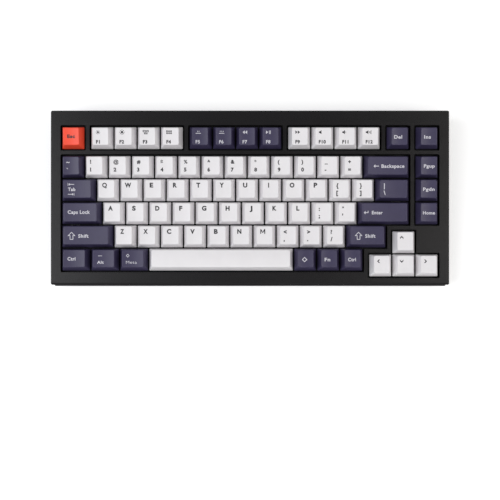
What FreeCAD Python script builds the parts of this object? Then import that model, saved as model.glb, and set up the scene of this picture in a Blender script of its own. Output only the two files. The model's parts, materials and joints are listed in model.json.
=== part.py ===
import FreeCAD, Part
import math
import os

from FreeCAD import Placement, Rotation, Vector

# Mechanical keyboard with 82 keys, in millimetres.
# Most shapes are drawn in the key plane: x to the right, y to the rear along the slope, z out of it.
# The key plane's z = 0 is the top face of the case, and place() tilts it into the part's own frame.

# --- Layout of the keys, in key units -------------------------------------------------------------
PITCH = 19.05
KEY_GAP = 0.95
COLUMNS = 16.25
ROWS = 6.5
ROW_TOPS = (0.0, 1.25, 2.25, 3.25, 4.25, 5.25)
ARROW_DROP = 0.25
LETTER_STARTS = {1: 1.0, 2: 1.5, 3: 1.75, 4: 2.25}
FINGER_COLUMNS = (
    "keys_1qaz", "keys_2wsx", "keys_3edc", "keys_4rfv", "keys_5tgb",
    "keys_6yhn", "keys_7ujm", "keys_8ik", "keys_9ol", "keys_0p",
)

# --- Case -----------------------------------------------------------------------------------------
TILT = 5.5
PLANE_HEIGHT = 28.8
SIDE_BEZEL = 8.97
REAR_BEZEL = 13.0
FRONT_BEZEL = 6.4
LIP_REACH = 1.5
TOP_CASE_DEPTH = 12.6
TOP_SKIN = 6.1
SIDE_WALL = 3.0
FRONT_WALL = 2.2
CORNER_RADIUS = 1.4
EDGE_CHAMFER = 0.7
FRONT_CHAMFER = (1.6, 1.2)
OPENING_MARGIN = 0.85
OPENING_RADIUS = 1.0
LIP_WALL = 3.0
FLOOR_HEIGHT = 4.8
FOOT_HEIGHT = 2.2
UNDER_CHAMFER = 3.0
REAR_BREAK = 23.1
REAR_BEVEL = 7.5

# --- Plate, circuit board, gaskets ----------------------------------------------------------------
CAP_BASE = -1.8
CAP_ABOVE_PLATE = 6.0
PLATE_TOP = CAP_BASE - CAP_ABOVE_PLATE
PLATE_THICKNESS = 1.5
PLATE_HALF_WIDTH = 157.0
PLATE_FRONT = -62.9
PLATE_REAR = 63.2
PLATE_HOLE = 14.0
BOARD_BELOW_PLATE = 5.0
BOARD_THICKNESS = 1.6
BOARD_HALF_WIDTH = 156.0
BOARD_FRONT = -61.9
BOARD_TOP = PLATE_TOP - BOARD_BELOW_PLATE
BOARD_BOTTOM = BOARD_TOP - BOARD_THICKNESS
GASKET_LENGTH = 18.0
GASKET_THICKNESS = -TOP_SKIN - PLATE_TOP
GASKET_SEAT = PLATE_TOP - PLATE_THICKNESS - GASKET_THICKNESS
FRONT_GASKETS = (-130.0, -55.0, 55.0, 130.0)
SIDE_GASKETS = (-35.0, 35.0)
FOAM_CLEARANCE = 0.1
CASE_FOAM_TOP = -16.6

# --- Switch, measured from the top of the plate ---------------------------------------------------
TRAVEL = 4.0
FLANGE = 15.6
FLANGE_HEIGHT = 1.0
BODY = 13.9
COVER_HEIGHT = 6.6
WELL_FLOOR = -4.2
POST_RADIUS = 1.95
POST_BOTTOM = -8.2
POLE_RADIUS = 1.0
SPRING_OUTER = 2.1
SPRING_INNER = 1.75
STEM_TOP = 7.0
STEM_SIZE = (7.0, 5.5)
SKIRT_SIZE = (8.4, 6.9)
CROSS_LENGTH = 4.0
CROSS_WIDTH = 1.2
CROSS_HEIGHT = 3.6
PINS = ((-3.81, 2.54), (2.54, 5.08))
CONTACT_TOPS = (-4.1, -2.0)
LAMP_OFFSET = -4.7

# --- Keycap, measured from its lower edge ---------------------------------------------------------
CAP_SIDE_INSET = 2.6
CAP_WALL = 1.4
CAP_ROOF = 1.5
CAP_BASE_RADIUS = 0.8
CAP_TOP_RADIUS = 1.2
DISH_DEPTH = 0.6
SOCKET_RADIUS = 2.6
SOCKET_START = 1.05
# Rear height, front height, rear inset and front inset of the top, for each row.
CAP_ROWS = {
    0: (10.2, 9.0, 1.8, 2.3),
    1: (10.2, 9.0, 1.5, 2.0),
    2: (9.2, 8.4, 1.25, 2.2),
    3: (8.8, 8.5, 1.0, 2.0),
    4: (8.6, 9.0, 0.8, 2.4),
    5: (8.6, 9.4, 0.9, 3.0),
}

# --- Stabilisers, measured from the top of the plate ----------------------------------------------
SMALL_SPREAD = 11.94
SPACE_SPREAD = 50.0
WIRE_RADIUS = 0.7
WIRE_PIVOT = (8.7, -3.0)
WIRE_LEG = 9.6
WIRE_LIFT = 4.0
WIRE_BEND = 2.0

# --- Ports, screws and feet -----------------------------------------------------------------------
USB_X = -106.0
USB_LEVEL = -17.85
USB_SHELL = (8.94, 7.35, 3.26)
USB_RECESS = (12.4, 6.6)
USB_FACE = 71.0
SWITCH_X = -84.0
SWITCH_TRAVEL = 2.0
DAUGHTER_TOP = -19.5
DAUGHTER_THICKNESS = 1.2
DAUGHTER_X = (-116.0, -74.0)
DAUGHTER_Y = (58.5, 70.9)
SCREW_SEAT = -15.6
SCREW_LENGTH = 8.5
SCREW_RADIUS = 1.2
SCREW_HEAD = (2.2, 2.4)
COUNTERBORE = 2.4
FOOT_SIZE = (26.0, 9.0)
FOOT_POCKET = 0.6
FOOT_X = 135.0

# --- Sizes that follow from the ones above --------------------------------------------------------
HALF_WIDTH = COLUMNS * PITCH / 2 + SIDE_BEZEL
CELLS_FRONT = -ROWS * PITCH / 2
CELLS_REAR = ROWS * PITCH / 2
CASE_FRONT = CELLS_FRONT - FRONT_BEZEL
CASE_REAR = CELLS_REAR + REAR_BEZEL
LIP_FRONT = CASE_FRONT - LIP_REACH
SIN = math.sin(math.radians(TILT))
COS = math.cos(math.radians(TILT))
SCREW_POINTS = (
    [(x, CASE_FRONT + 2.8) for x in (-150.0, 0.0, 150.0)]
    + [(x, CASE_REAR - 5.9) for x in (-150.0, 0.0, 150.0)]
    + [(x, 0.0) for x in (-HALF_WIDTH + 3.6, HALF_WIDTH - 3.6)]
)


def slope_point(y, z):
    """A key-plane point in the upright frame, before the part is centred on its origin."""
    return y * COS - z * SIN, PLANE_HEIGHT + y * SIN + z * COS


FRONTMOST = slope_point(LIP_FRONT, -TOP_CASE_DEPTH)[0]
REARMOST = slope_point(CASE_REAR, -REAR_BREAK)[0]
CENTRING = -(FRONTMOST + REARMOST) / 2
TILTED = Placement(Vector(0, CENTRING, PLANE_HEIGHT), Rotation(Vector(1, 0, 0), TILT))
UNTILTED = TILTED.inverse()


# --- Helpers --------------------------------------------------------------------------------------
def box(x0, x1, y0, y1, z0, z1):
    return Part.makeBox(x1 - x0, y1 - y0, z1 - z0, Vector(x0, y0, z0))


def rod(radius, x, y, z0, z1):
    return Part.makeCylinder(radius, z1 - z0, Vector(x, y, z0))


def copy_at(shape, x, y, z=0.0):
    moved = shape.copy()
    moved.translate(Vector(x, y, z))
    return moved


def rounded_rectangle(width, depth, radius):
    """A closed wire about the origin, in the plane z = 0."""
    x = width / 2
    y = depth / 2
    inner_x = x - radius
    inner_y = y - radius
    bulge = radius * math.sqrt(0.5)
    edges = []
    for side_x, side_y in ((1, 1), (-1, 1), (-1, -1), (1, -1)):
        beside = Vector(side_x * x, side_y * inner_y, 0)
        middle = Vector(side_x * (inner_x + bulge), side_y * (inner_y + bulge), 0)
        ahead = Vector(side_x * inner_x, side_y * y, 0)
        ends = (beside, ahead) if side_x == side_y else (ahead, beside)
        if edges:
            edges.append(Part.makeLine(edges[-1].lastVertex().Point, ends[0]))
        edges.append(Part.Arc(ends[0], middle, ends[1]).toShape())
    edges.append(Part.makeLine(edges[-1].lastVertex().Point, edges[0].firstVertex().Point))
    return Part.Wire(edges)


def rounded_prism(x0, x1, y0, y1, z0, z1, radius):
    wire = rounded_rectangle(x1 - x0, y1 - y0, radius)
    prism = Part.Face(wire).extrude(Vector(0, 0, z1 - z0))
    prism.translate(Vector((x0 + x1) / 2, (y0 + y1) / 2, z0))
    return prism


def profile_prism(points, x0, x1):
    """A prism along x from (y, z) points."""
    wire = Part.makePolygon([Vector(x0, y, z) for y, z in points + points[:1]])
    return Part.Face(wire).extrude(Vector(x1 - x0, 0, 0))


def place(shapes):
    """Tilts key-plane solids into the part's frame."""
    group = Part.makeCompound(shapes)
    group.Placement = TILTED
    return group


def save(name, group):
    group.exportStep(os.path.join("parts", name + ".step"))


# --- Layout ---------------------------------------------------------------------------------------
def key_table():
    """Every key as (node, row, centre x, centre y, width in units)."""
    keys = []

    def add(node, row, left, width=1.0, drop=0.0):
        x = (left + width / 2 - COLUMNS / 2) * PITCH
        y = (ROWS / 2 - ROW_TOPS[row] - drop - 0.5) * PITCH
        keys.append((node, row, x, y, width))

    add("escape_key", 0, 0.0)
    for node, start in (("keys_f1_f4", 1.25), ("keys_f5_f8", 5.5), ("keys_f9_f12", 9.75)):
        for n in range(4):
            add(node, 0, start + n)
    add("delete_key", 0, 14.0)
    add("insert_key", 0, 15.25)
    add("backquote_key", 1, 0.0)
    for row, start in LETTER_STARTS.items():
        for n, node in enumerate(FINGER_COLUMNS):
            add(node, row, start + n)
    for row, start, count in ((1, 11.0, 2), (2, 11.5, 2), (3, 11.75, 1)):
        for n in range(count):
            add("keys_brackets", row, start + n)
    add("backspace_key", 1, 13.0, 2.0)
    add("tab_key", 2, 0.0, 1.5)
    add("backslash_key", 2, 13.5, 1.5)
    add("caps_lock_key", 3, 0.0, 1.75)
    add("enter_key", 3, 12.75, 2.25)
    add("left_shift_key", 4, 0.0, 2.25)
    add("right_shift_key", 4, 12.25, 1.75)
    for n in range(3):
        add("left_modifier_keys", 5, 1.25 * n, 1.25)
        add("right_modifier_keys", 5, 10.0 + n)
        add("page_keys", 1 + n, 15.25)
    add("space_bar", 5, 3.75, 6.25)
    add("up_key", 4, 14.25, 1.0, ARROW_DROP)
    for n, node in enumerate(("left_key", "down_key", "right_key")):
        add(node, 5, 13.25 + n, 1.0, ARROW_DROP)
    return keys


def stabiliser_spread(width):
    if width > 3:
        return SPACE_SPREAD
    return SMALL_SPREAD if width >= 2 else 0.0


def opening_cells():
    """The case's key openings as (left, right, top, bottom) in key units, joined where they touch."""
    single = [(0.0, 1.0, 0.0, 1.0), (14.0, 15.0, 0.0, 1.0), (15.25, 16.25, 0.0, 1.0)]
    functions = [(start, start + 4.0, 0.0, 1.0) for start in (1.25, 5.5, 9.75)]
    main = [(0.0, 15.0, 1.25, 4.25), (0.0, 14.0, 4.25, 5.25), (0.0, 13.0, 5.25, 6.25)]
    arrows = [(14.25, 15.25, 4.5, 5.5), (13.25, 16.25, 5.5, 6.5)]
    paging = [(15.25, 16.25, 1.25, 4.25)]
    return [[cell] for cell in single + functions + paging] + [main, arrows]


# --- Keycaps and stems ----------------------------------------------------------------------------
def cap_block(width, row, wall, roof, base_radius, top_radius):
    """The tapered block of a keycap, drawn in by wall on the sides and by roof on the top."""
    rear_height, front_height, rear_inset, front_inset = CAP_ROWS[row]
    depth = PITCH - KEY_GAP
    rear = depth / 2 - rear_inset - wall
    front = -depth / 2 + front_inset + wall
    slope = math.atan2(rear_height - front_height, rear - front)
    lower = rounded_rectangle(width - 2 * wall, depth - 2 * wall, base_radius)
    upper = rounded_rectangle(width - 2 * (CAP_SIDE_INSET + wall), (rear - front) / math.cos(slope), top_radius)
    middle = (rear_height + front_height) / 2 - roof
    turn = Rotation(Vector(1, 0, 0), math.degrees(slope))
    upper.Placement = Placement(Vector(0, (rear + front) / 2, middle), turn)
    return Part.makeLoft([lower, upper], True, True)


def dish_cutter(width, row):
    """A cylinder lying along the top of a keycap, which hollows it from side to side."""
    rear_height, front_height, rear_inset, front_inset = CAP_ROWS[row]
    depth = PITCH - KEY_GAP
    run = depth - rear_inset - front_inset
    half = width / 2 - CAP_SIDE_INSET
    radius = (half ** 2 + DISH_DEPTH ** 2) / (2 * DISH_DEPTH)
    slope = math.atan2(rear_height - front_height, run)
    cutter = Part.makeCylinder(radius, 3 * depth, Vector(0, -1.5 * depth, radius - DISH_DEPTH), Vector(0, 1, 0))
    turn = Rotation(Vector(1, 0, 0), math.degrees(slope))
    middle = (rear_height + front_height) / 2
    cutter.Placement = Placement(Vector(0, (front_inset - rear_inset) / 2, middle), turn) * cutter.Placement
    return cutter


def cross(length, width, z0, z1):
    along = box(-length / 2, length / 2, -width / 2, width / 2, z0, z1)
    return along.fuse(box(-width / 2, width / 2, -length / 2, length / 2, z0, z1)).removeSplitter()


def keycap(units, row):
    width = units * PITCH - KEY_GAP
    spread = stabiliser_spread(units)
    cap = cap_block(width, row, 0.0, 0.0, CAP_BASE_RADIUS, CAP_TOP_RADIUS)
    if units < 3:
        cap = cap.cut(dish_cutter(width, row))
    hollow = cap_block(width, row, CAP_WALL, CAP_ROOF + DISH_DEPTH / 2, 0.4, 0.8)
    cap = cap.cut(hollow)
    ceiling = min(CAP_ROWS[row][:2]) - 0.6
    hole = cross(CROSS_LENGTH + 0.2, CROSS_WIDTH + 0.3, SOCKET_START - 0.1, SOCKET_START + CROSS_HEIGHT + 0.3)
    for x in sorted({-spread, 0.0, spread}):
        cap = cap.fuse(rod(SOCKET_RADIUS, x, 0, SOCKET_START, ceiling - DISH_DEPTH)).removeSplitter()
        cap = cap.cut(copy_at(hole, x, 0))
    return cap


def switch_stem():
    skirt = box(-SKIRT_SIZE[0] / 2, SKIRT_SIZE[0] / 2, -SKIRT_SIZE[1] / 2, SKIRT_SIZE[1] / 2, 0.1, 5.5)
    neck = box(-STEM_SIZE[0] / 2, STEM_SIZE[0] / 2, -STEM_SIZE[1] / 2, STEM_SIZE[1] / 2, 5.5, STEM_TOP)
    solid = skirt.fuse(neck)
    solid = solid.fuse(cross(CROSS_LENGTH, CROSS_WIDTH, STEM_TOP, STEM_TOP + CROSS_HEIGHT))
    solid = solid.cut(rod(SPRING_OUTER + 0.2, 0, 0, 0.1, 5.0))
    return solid.fuse(rod(POLE_RADIUS, 0, 0, -3.5, 5.0)).removeSplitter()


def stabiliser_stem():
    """The sliding stem at the end of a long key: its rear pocket takes a leg of the wire."""
    solid = box(-2.4, 2.4, -3.0, 3.0, -0.6, STEM_TOP)
    solid = solid.fuse(cross(CROSS_LENGTH, CROSS_WIDTH, STEM_TOP, STEM_TOP + CROSS_HEIGHT))
    pocket = box(-1.1, 1.1, -2.2, 3.0, -0.6, 2.2)
    hook = box(-1.1, 1.1, -2.2, 0.0, -0.6, -0.1)
    return solid.cut(pocket).fuse(hook).removeSplitter()


def key_nodes(keys):
    """Each node's keycaps and stems, at rest."""
    stem = switch_stem()
    end_stem = stabiliser_stem()
    caps = {}
    nodes = {}
    for node, row, x, y, units in keys:
        if (row, units) not in caps:
            caps[row, units] = keycap(units, row)
        solids = nodes.setdefault(node, [])
        solids.append(copy_at(caps[row, units], x, y, CAP_BASE))
        solids.append(copy_at(stem, x, y, PLATE_TOP))
        spread = stabiliser_spread(units)
        if spread:
            for side in (-spread, spread):
                solids.append(copy_at(end_stem, x + side, y, PLATE_TOP))
    return nodes


# --- Switch housings, springs, contacts -----------------------------------------------------------
def switch_base():
    body = box(-BODY / 2, BODY / 2, -BODY / 2, BODY / 2, -BOARD_BELOW_PLATE, 0)
    body = body.fuse(box(-FLANGE / 2, FLANGE / 2, -FLANGE / 2, FLANGE / 2, 0, FLANGE_HEIGHT))
    body = body.fuse(rod(POST_RADIUS, 0, 0, POST_BOTTOM, -BOARD_BELOW_PLATE))
    body = body.cut(box(-5.8, 5.8, -3.8, 6.3, WELL_FLOOR, FLANGE_HEIGHT))
    body = body.cut(rod(POLE_RADIUS + 0.3, 0, 0, POST_BOTTOM + 0.4, WELL_FLOOR))
    body = body.cut(box(-2.2, 2.2, -6.2, -4.6, -BOARD_BELOW_PLATE, FLANGE_HEIGHT))
    for x, y in PINS:
        body = body.cut(box(x - 0.9, x + 0.9, y - 0.5, y + 0.5, -BOARD_BELOW_PLATE, WELL_FLOOR))
    return body.removeSplitter()


def switch_cover():
    lower = rounded_rectangle(14.2, 14.2, 1.0)
    upper = rounded_rectangle(10.8, 10.0, 1.0)
    lower.translate(Vector(0, 0, FLANGE_HEIGHT))
    upper.translate(Vector(0, 0, COVER_HEIGHT))
    cover = Part.makeLoft([lower, upper], True, True)
    cover = cover.cut(box(-4.6, 4.6, -3.85, 3.85, FLANGE_HEIGHT, COVER_HEIGHT - 1.0))
    neck_x = STEM_SIZE[0] / 2 + 0.15
    neck_y = STEM_SIZE[1] / 2 + 0.15
    return cover.cut(box(-neck_x, neck_x, -neck_y, neck_y, COVER_HEIGHT - 1.0, COVER_HEIGHT))


def switch_spring():
    outer = rod(SPRING_OUTER, 0, 0, WELL_FLOOR + 0.05, 4.9)
    return outer.cut(rod(SPRING_INNER, 0, 0, WELL_FLOOR + 0.05, 4.9))


def switch_contacts():
    """The fixed contact, which ends below the stem's travel, and the leaf, which stands behind the stem."""
    contacts = []
    for (x, y), top in zip(PINS, CONTACT_TOPS):
        contacts.append(box(x - 0.5, x + 0.5, y - 0.2, y + 0.2, -8.0, top))
    return contacts


def at_each_key(keys, shapes):
    return [copy_at(s, x, y, PLATE_TOP) for _, _, x, y, _ in keys for s in shapes]


# --- Stabilisers ----------------------------------------------------------------------------------
def stabiliser_housing(inner_side):
    """A housing whose wire leaves through the side that inner_side (-1 or 1) points to."""
    foot = box(-3.6, 3.6, -7.0, 10.4, -BOARD_BELOW_PLATE, 0.2)
    tower = box(-3.6, 3.6, -4.4, 4.4, 0.2, 4.0)
    housing = foot.fuse(tower)
    housing = housing.cut(box(-2.65, 2.65, -3.25, 3.25, -BOARD_BELOW_PLATE, 4.0))
    housing = housing.cut(box(-1.2, 1.2, 3.25, 9.8, -BOARD_BELOW_PLATE, 0.2))
    housing = housing.cut(box(-1.2, 1.2, 3.25, 4.4, 0.2, 2.0))
    reach = box(0, 3.6, 7.4, 9.8, -4.3, -1.7)
    if inner_side < 0:
        reach = box(-3.6, 0, 7.4, 9.8, -4.3, -1.7)
    housing = housing.cut(reach)
    return housing.cut(rod(0.8, 0, -5.2, -BOARD_BELOW_PLATE, -1.0)).removeSplitter()


def stabiliser_screw():
    """Comes up through the circuit board into the front of a housing."""
    underside = -BOARD_BELOW_PLATE - BOARD_THICKNESS
    head = rod(1.4, 0, -5.2, underside - 1.2, underside)
    return head.fuse(rod(0.75, 0, -5.2, underside, -1.2)).removeSplitter()


def mirrored(point):
    return Vector(-point.x, point.y, point.z)


def stabiliser_wire(spread):
    """A long bar with two legs, which rock about the bar. At rest the legs point up at the stems."""
    leg_y = WIRE_LEG * math.cos(math.asin(WIRE_LIFT / WIRE_LEG))
    corner = Vector(spread, 0, 0)
    tip = Vector(spread, -leg_y, WIRE_LIFT)
    along = (tip - corner).normalize()
    inward = Vector(-1, 0, 0)
    start = corner + inward * WIRE_BEND
    end = corner + along * WIRE_BEND
    middle = corner + (inward + along) * (WIRE_BEND * (1 - math.sqrt(0.5)))
    path = Part.Wire([
        Part.makeLine(mirrored(tip), mirrored(end)),
        Part.Arc(mirrored(end), mirrored(middle), mirrored(start)).toShape(),
        Part.makeLine(mirrored(start), start),
        Part.Arc(start, middle, end).toShape(),
        Part.makeLine(end, tip),
    ])
    section = Part.Wire(Part.makeCircle(WIRE_RADIUS, mirrored(tip), mirrored(along)))
    wire = path.makePipeShell([section], True, False)
    return copy_at(wire, 0, WIRE_PIVOT[0], WIRE_PIVOT[1])


def save_stabilisers(keys):
    names = {2.0: "backspace_wire", 6.25: "space_bar_wire"}
    housings = []
    screws = []
    screw = stabiliser_screw()
    for node, _, x, y, units in keys:
        spread = stabiliser_spread(units)
        if not spread:
            continue
        for side in (-1, 1):
            housings.append(copy_at(stabiliser_housing(-side), x + side * spread, y, PLATE_TOP))
            screws.append(copy_at(screw, x + side * spread, y, PLATE_TOP))
        name = names.get(units, node.replace("_key", "_wire"))
        save(name, place([copy_at(stabiliser_wire(spread), x, y, PLATE_TOP)]))
    save("stabiliser_housings", place(housings))
    save("stabiliser_screws", place(screws))


# --- Plate, circuit board and what is fixed to them -----------------------------------------------
def stabiliser_sites(keys):
    return [
        (x + side * stabiliser_spread(units), y)
        for _, _, x, y, units in keys
        if stabiliser_spread(units)
        for side in (-1, 1)
    ]


def gasket_sites():
    """Each gasket tab's rectangle (x0, x1, y0, y1), outside the plate's main edge."""
    half = GASKET_LENGTH / 2
    sites = []
    for x in FRONT_GASKETS:
        sites.append((x - half, x + half, PLATE_FRONT - 2.8, PLATE_FRONT))
        sites.append((x - half, x + half, PLATE_REAR, PLATE_REAR + 2.8))
    for y in SIDE_GASKETS:
        sites.append((-PLATE_HALF_WIDTH - 3.2, -PLATE_HALF_WIDTH, y - half, y + half))
        sites.append((PLATE_HALF_WIDTH, PLATE_HALF_WIDTH + 3.2, y - half, y + half))
    return sites


def gasket_pads():
    pads = []
    for x0, x1, y0, y1 in gasket_sites():
        for bottom in (PLATE_TOP, GASKET_SEAT):
            pads.append(box(x0 + 0.2, x1 - 0.2, y0 + 0.2, y1 - 0.2, bottom, bottom + GASKET_THICKNESS))
    return pads


def switch_plate(keys):
    bottom = PLATE_TOP - PLATE_THICKNESS
    plate = box(-PLATE_HALF_WIDTH, PLATE_HALF_WIDTH, PLATE_FRONT, PLATE_REAR, bottom, PLATE_TOP)
    tabs = [box(x0, x1, y0, y1, bottom, PLATE_TOP) for x0, x1, y0, y1 in gasket_sites()]
    plate = plate.multiFuse(tabs)
    half = PLATE_HOLE / 2
    holes = [box(x - half, x + half, y - half, y + half, bottom, PLATE_TOP) for _, _, x, y, _ in keys]
    for x, y in stabiliser_sites(keys):
        holes.append(box(x - 3.9, x + 3.9, y - 7.3, y + 10.7, bottom, PLATE_TOP))
    return plate.cut(Part.makeCompound(holes)).removeSplitter()


def plate_foam(keys):
    bottom = BOARD_TOP + FOAM_CLEARANCE
    top = PLATE_TOP - PLATE_THICKNESS - FOAM_CLEARANCE
    foam = box(-PLATE_HALF_WIDTH + 1, PLATE_HALF_WIDTH - 1, BOARD_FRONT, PLATE_REAR - 1, bottom, top)
    holes = [box(x - 7.4, x + 7.4, y - 7.4, y + 7.4, bottom, top) for _, _, x, y, _ in keys]
    for _, _, x, y, units in keys:
        spread = stabiliser_spread(units)
        if spread:
            holes.append(box(x - spread - 4.2, x + spread + 4.2, y - 7.6, y + 10.8, bottom, top))
    return foam.cut(Part.makeCompound(holes)).removeSplitter().Solids


def circuit_board(keys):
    board = box(-BOARD_HALF_WIDTH, BOARD_HALF_WIDTH, BOARD_FRONT, PLATE_REAR, BOARD_BOTTOM, BOARD_TOP)
    holes = []
    for _, _, x, y, _ in keys:
        holes.append(rod(POST_RADIUS + 0.1, x, y, BOARD_BOTTOM, BOARD_TOP))
        holes.append(box(x - 1.5, x + 1.5, y + LAMP_OFFSET - 1.2, y + LAMP_OFFSET + 1.2, BOARD_BOTTOM, BOARD_TOP))
        for pin_x, pin_y in PINS:
            holes.append(rod(0.9, x + pin_x, y + pin_y, BOARD_BOTTOM, BOARD_TOP))
    for x, y in stabiliser_sites(keys):
        holes.append(rod(1.0, x, y - 5.2, BOARD_BOTTOM, BOARD_TOP))
    return board.cut(Part.makeCompound(holes))


def hot_swap_socket():
    """Sits under the circuit board, below the two pins of a switch."""
    top = -BOARD_BELOW_PLATE - BOARD_THICKNESS
    socket = box(-6.0, 0.9, 2.15, 4.4, top - 1.8, top).fuse(box(-2.2, 4.9, 3.9, 6.6, top - 1.8, top))
    for x, y in PINS:
        socket = socket.cut(rod(0.8, x, y, top - 1.8, top))
    return socket.removeSplitter()


def lamp():
    top = -BOARD_BELOW_PLATE - BOARD_THICKNESS
    return box(-1.75, 1.75, LAMP_OFFSET - 1.4, LAMP_OFFSET + 1.4, top - 1.3, top)


def controller_chips():
    """The controller and two lamp drivers, under the wide gap behind the number row."""
    y = (ROWS / 2 - 1.125) * PITCH
    sizes = ((-60.0, 3.25, 0.9), (-19.0, 3.5, 1.0), (57.0, 3.25, 0.9))
    return [box(x - s, x + s, y - s, y + s, BOARD_BOTTOM - h, BOARD_BOTTOM) for x, s, h in sizes]


def case_foam():
    """A wedge that fills the tub under the circuit board."""
    floor = FLOOR_HEIGHT + FOAM_CLEARANCE
    front = floor_level(BOARD_FRONT, floor)
    rear = floor_level(57.5, floor)
    corners = [(BOARD_FRONT, CASE_FOAM_TOP), (57.5, CASE_FOAM_TOP), (57.5, rear), (BOARD_FRONT, front)]
    return profile_prism(corners, -BOARD_HALF_WIDTH + 0.5, BOARD_HALF_WIDTH - 0.5)


# --- Daughter board -------------------------------------------------------------------------------
def daughter_board():
    (x0, x1), (y0, y1) = DAUGHTER_X, DAUGHTER_Y
    return box(x0, x1, y0, y1, DAUGHTER_TOP - DAUGHTER_THICKNESS, DAUGHTER_TOP)


def usb_socket():
    """The metal shell with the tongue inside it."""
    width, length, height = USB_SHELL
    rear = USB_FACE
    block = box(-width / 2, width / 2, rear - length, rear, -height / 2, height / 2)
    along = [e for e in block.Edges if abs(e.tangentAt(e.FirstParameter).y) > 0.9]
    shell = block.makeFillet(1.3, along)
    mouth = box(-4.17, 4.17, rear - 6.2, rear, -1.3, 1.3)
    along = [e for e in mouth.Edges if abs(e.tangentAt(e.FirstParameter).y) > 0.9]
    shell = shell.cut(mouth.makeFillet(1.0, along))
    tongue = box(-3.35, 3.35, rear - 6.2, rear - 1.2, -0.35, 0.35)
    return [copy_at(s, USB_X, 0, USB_LEVEL) for s in (shell, tongue)]


def mode_switch_body():
    body = box(SWITCH_X - 4.2, SWITCH_X + 4.2, 66.4, 70.4, DAUGHTER_TOP, DAUGHTER_TOP + 3.4)
    level = DAUGHTER_TOP + 1.7
    return body.cut(box(SWITCH_X - 2.4, SWITCH_X + 2.4, 68.6, 70.4, level - 1.0, level + 1.0))


def mode_switch_knob():
    x = SWITCH_X - SWITCH_TRAVEL / 2
    level = DAUGHTER_TOP + 1.7
    return box(x - 1.0, x + 1.0, 69.0, CASE_REAR - 0.6, level - 0.8, level + 0.8)


def board_cable():
    """A short ribbon between a header under the circuit board and one on the daughter board."""
    lower = box(-99.5, -90.5, 60.0, 63.0, DAUGHTER_TOP, DAUGHTER_TOP + 1.6)
    upper = box(-99.5, -90.5, 60.0, 63.0, BOARD_BOTTOM - 1.6, BOARD_BOTTOM)
    ribbon = box(-98.5, -91.5, 61.3, 61.7, DAUGHTER_TOP + 1.6, BOARD_BOTTOM - 1.6)
    return [lower, upper, ribbon]


# --- Case -----------------------------------------------------------------------------------------
def key_openings():
    cutters = []
    for cells in opening_cells():
        for left, right, top, bottom in cells:
            x0 = (left - COLUMNS / 2) * PITCH - OPENING_MARGIN
            x1 = (right - COLUMNS / 2) * PITCH + OPENING_MARGIN
            y1 = (ROWS / 2 - top) * PITCH + OPENING_MARGIN
            y0 = (ROWS / 2 - bottom) * PITCH - OPENING_MARGIN
            cutters.append(rounded_prism(x0, x1, y0, y1, -TOP_SKIN - 1, 1, OPENING_RADIUS))
    return cutters


def top_case():
    outer = rounded_prism(-HALF_WIDTH, HALF_WIDTH, CASE_FRONT, CASE_REAR, -TOP_CASE_DEPTH, 0, CORNER_RADIUS)
    rim = [f for f in outer.Faces if abs(f.CenterOfMass.z) < 1e-6][0]
    outer = outer.makeChamfer(EDGE_CHAMFER, rim.Edges)
    run, drop = FRONT_CHAMFER
    wedge = [
        (CASE_FRONT + run, 0.0), (CASE_FRONT + run, 1.0),
        (CASE_FRONT - 1.0, 1.0), (CASE_FRONT - 1.0, -drop - drop / run),
    ]
    outer = outer.cut(profile_prism(wedge, -HALF_WIDTH - 1, HALF_WIDTH + 1))
    inner_x = HALF_WIDTH - SIDE_WALL
    inside = box(-inner_x, inner_x, CASE_FRONT + FRONT_WALL, CASE_REAR - SIDE_WALL, -TOP_CASE_DEPTH, -TOP_SKIN)
    bosses = [rod(2.3, x, y, -TOP_CASE_DEPTH, -TOP_SKIN) for x, y in SCREW_POINTS]
    case = outer.cut(inside).multiFuse([b.common(outer) for b in bosses])
    holes = [rod(SCREW_RADIUS + 0.05, x, y, -TOP_CASE_DEPTH, SCREW_SEAT + SCREW_LENGTH + 0.2) for x, y in SCREW_POINTS]
    return case.cut(Part.makeCompound(key_openings() + holes)).removeSplitter()


def floor_level(y, height):
    """The key-plane z at which a point at key-plane y stands at this height above the desk."""
    return (height - PLANE_HEIGHT - y * SIN) / COS


def slope_profile(points):
    """Key-plane (y, z) points from upright (y, height) ones."""
    return [(y * COS + (z - PLANE_HEIGHT) * SIN, -y * SIN + (z - PLANE_HEIGHT) * COS) for y, z in points]


def tub_outline(top, lip, rear, height, chamfer, bevel, wall_break):
    """The side outline of the tub, outside or inside, in the key plane."""
    front_low = floor_level(lip, height + chamfer)
    front_y = slope_point(lip, front_low)[0] + chamfer
    rear_y = slope_point(rear, -wall_break)[0] - bevel
    under = slope_profile([(front_y, height), (rear_y, height)])
    return [(lip, top), (lip, front_low)] + under + [(rear, -wall_break), (rear, top)]


def screw_passage(x, y):
    return rod(SCREW_RADIUS + 0.25, x, y, SCREW_SEAT, 0).fuse(rod(COUNTERBORE, x, y, -45, SCREW_SEAT))


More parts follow.
